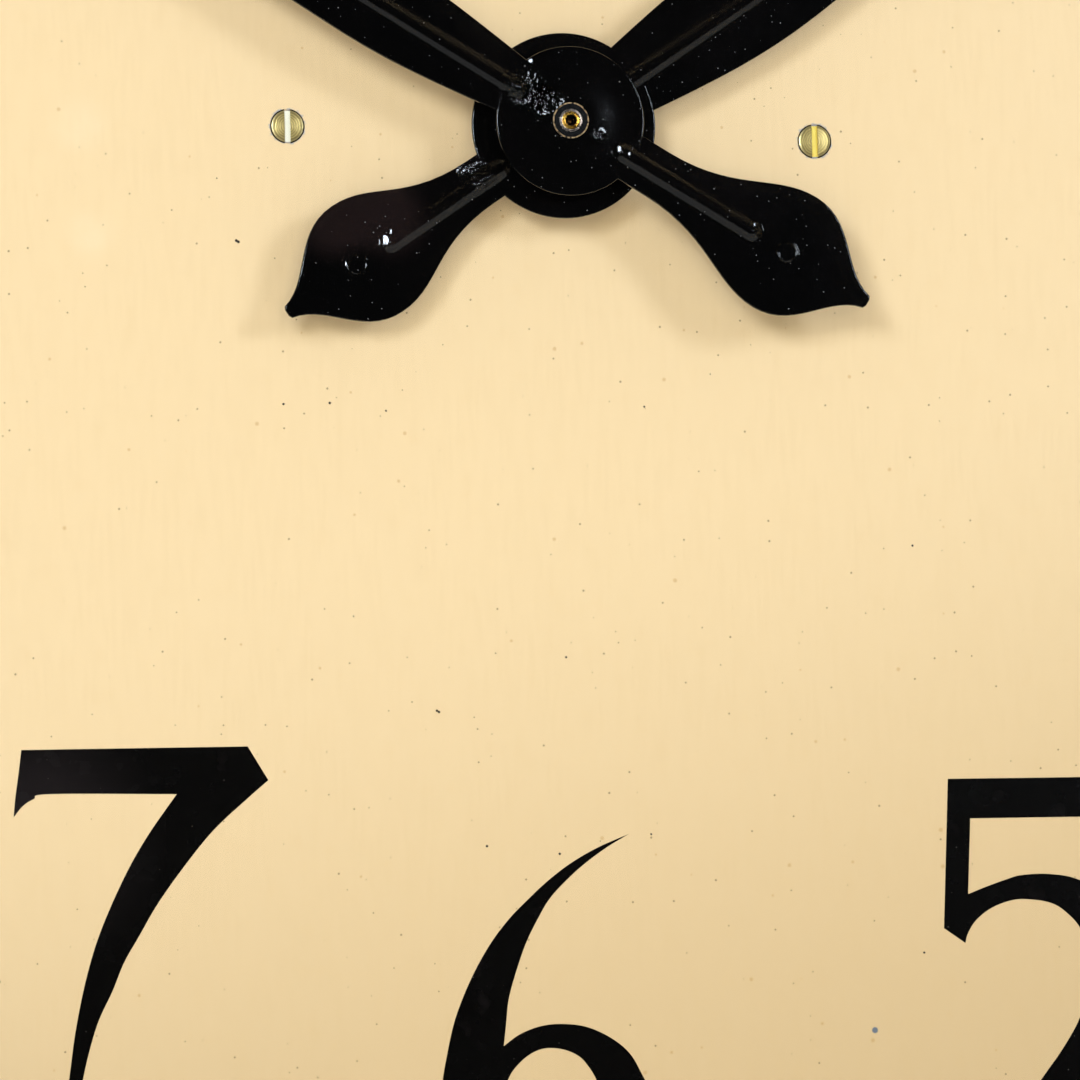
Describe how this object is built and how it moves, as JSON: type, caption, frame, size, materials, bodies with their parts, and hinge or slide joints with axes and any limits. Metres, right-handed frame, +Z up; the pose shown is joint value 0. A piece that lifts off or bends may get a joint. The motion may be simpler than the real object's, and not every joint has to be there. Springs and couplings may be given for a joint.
{
  "type": "factory wall clock",
  "caption": "Large round wall clock with a cream dial, black leaf hands with counterpoise tails, a hinged glazed bezel and an impulse-driven movement.",
  "frame": {"origin": "centre of the flat back of the case, on the axis of the hands", "axes": "+X to the right as the dial is read, +Y into the wall (the dial faces -Y), +Z up"},
  "size_m": [0.7196, 0.122, 0.687],
  "materials": {
    "case_enamel": "gloss black stove enamel, lightly worn",
    "hand_enamel": "gloss black enamel, slightly lumpy",
    "dial_paint": "semi-gloss cream paint, lightly speckled",
    "brass": "turned brass, dulled",
    "steel": "plain steel",
    "zinc_steel": "dull plated steel",
    "iron": "soft iron, blackened",
    "rubber": "matt black",
    "felt": "dark putty strip",
    "glass": "clear flat glass",
    "bobbin_fibre": "red-brown vulcanised fibre",
    "winding": "lacquered copper wire under tape",
    "moulding": "black-brown moulding"
  },
  "bodies": {
    "case": {"case_pan": "case_enamel", "hanging_plate": "zinc_steel", "cable_grommet": "rubber", "dial_brackets": "zinc_steel", "dial_ring": "zinc_steel", "dial": "dial_paint", "dial_rim_screws": "steel", "dial_screws": "brass", "hinge_fixed_leaf": "zinc_steel", "hinge_pin": "steel", "latch_plate": "zinc_steel", "front_plate": "brass", "back_plate": "brass", "plate_pillars": "brass", "pillar_screws": "steel", "dial_posts": "brass", "motion_stud": "steel", "magnet_yoke": "iron", "yoke_screws": "steel", "magnet_cores": "iron", "coil_bobbins": "bobbin_fibre", "coil_windings": "winding", "backstop_stud": "steel", "return_spring": "steel", "spring_post": "steel", "terminal_block": "moulding", "terminal_screws": "brass"},
    "bezel": {"bezel": "case_enamel", "glass": "glass", "glass_gasket": "felt", "glass_retainer": "zinc_steel", "retainer_screws": "steel", "hinge_moving_leaf": "zinc_steel", "bezel_lug": "zinc_steel"},
    "latch": {"latch_button": "brass"},
    "minute_train": {"minute_arbor": "brass", "ratchet_wheel": "brass", "cannon_pinion": "brass", "minute_hand": "hand_enamel", "minute_collet": "brass", "minute_collet_screw": "steel", "minute_counterweight": "hand_enamel"},
    "hour_train": {"hour_wheel": "brass", "hour_hand": "hand_enamel", "hour_collet": "brass", "hour_collet_screws": "steel", "hour_counterweight": "hand_enamel"},
    "motion": {"motion_wheel": "brass"},
    "armature": {"armature": "iron", "armature_arbor": "steel", "armature_lever": "steel"},
    "driving_pawl": {"driving_pawl": "steel"},
    "backstop_pawl": {"backstop_pawl": "steel"}
  },
  "joints": [
    {"name": "minute_spin", "type": "hinge", "parent": "case", "child": "minute_train", "pos_m": [0, 0, 0], "axis": [0, 1, 0], "continuous": true},
    {"name": "hour_spin", "type": "hinge", "parent": "case", "child": "hour_train", "pos_m": [0, 0, 0], "axis": [0, 1, 0], "continuous": true},
    {"name": "motion_spin", "type": "hinge", "parent": "case", "child": "motion", "pos_m": [0, 0, -0.024], "axis": [0, 1, 0], "continuous": true},
    {"name": "armature_swing", "type": "hinge", "parent": "case", "child": "armature", "pos_m": [0.034, 0, -0.042], "axis": [0, 1, 0], "range_deg": [-3.2, 0], "stiffness_Nm_per_rad": 0.05, "springref_deg": 45.84, "deforming": ["return_spring"]},
    {"name": "driving_pawl_lift", "type": "hinge", "parent": "armature", "child": "driving_pawl", "pos_m": [-0.042, 0, -0.03], "axis": [0, 1, 0], "range_deg": [-12, 0], "stiffness_Nm_per_rad": 0.002, "springref_deg": 28.65},
    {"name": "backstop_pawl_lift", "type": "hinge", "parent": "case", "child": "backstop_pawl", "pos_m": [0.044, 0, 0.024], "axis": [0, 1, 0], "range_deg": [-12, 0], "stiffness_Nm_per_rad": 0.002, "springref_deg": 28.65},
    {"name": "bezel_swing", "type": "hinge", "parent": "case", "child": "bezel", "pos_m": [-0.3481, -0.08, 0], "axis": [0, 0, -1], "range_deg": [0, 110]},
    {"name": "latch_turn", "type": "hinge", "parent": "case", "child": "latch", "pos_m": [0.3595, -0.0848, 0], "axis": [0, 1, 0], "range_deg": [0, 90]}
  ],
  "couplings": [
    {"joint": "hour_spin", "follows": "minute_spin", "ratio": 0.083333},
    {"joint": "motion_spin", "follows": "minute_spin", "ratio": -0.33333}
  ]
}
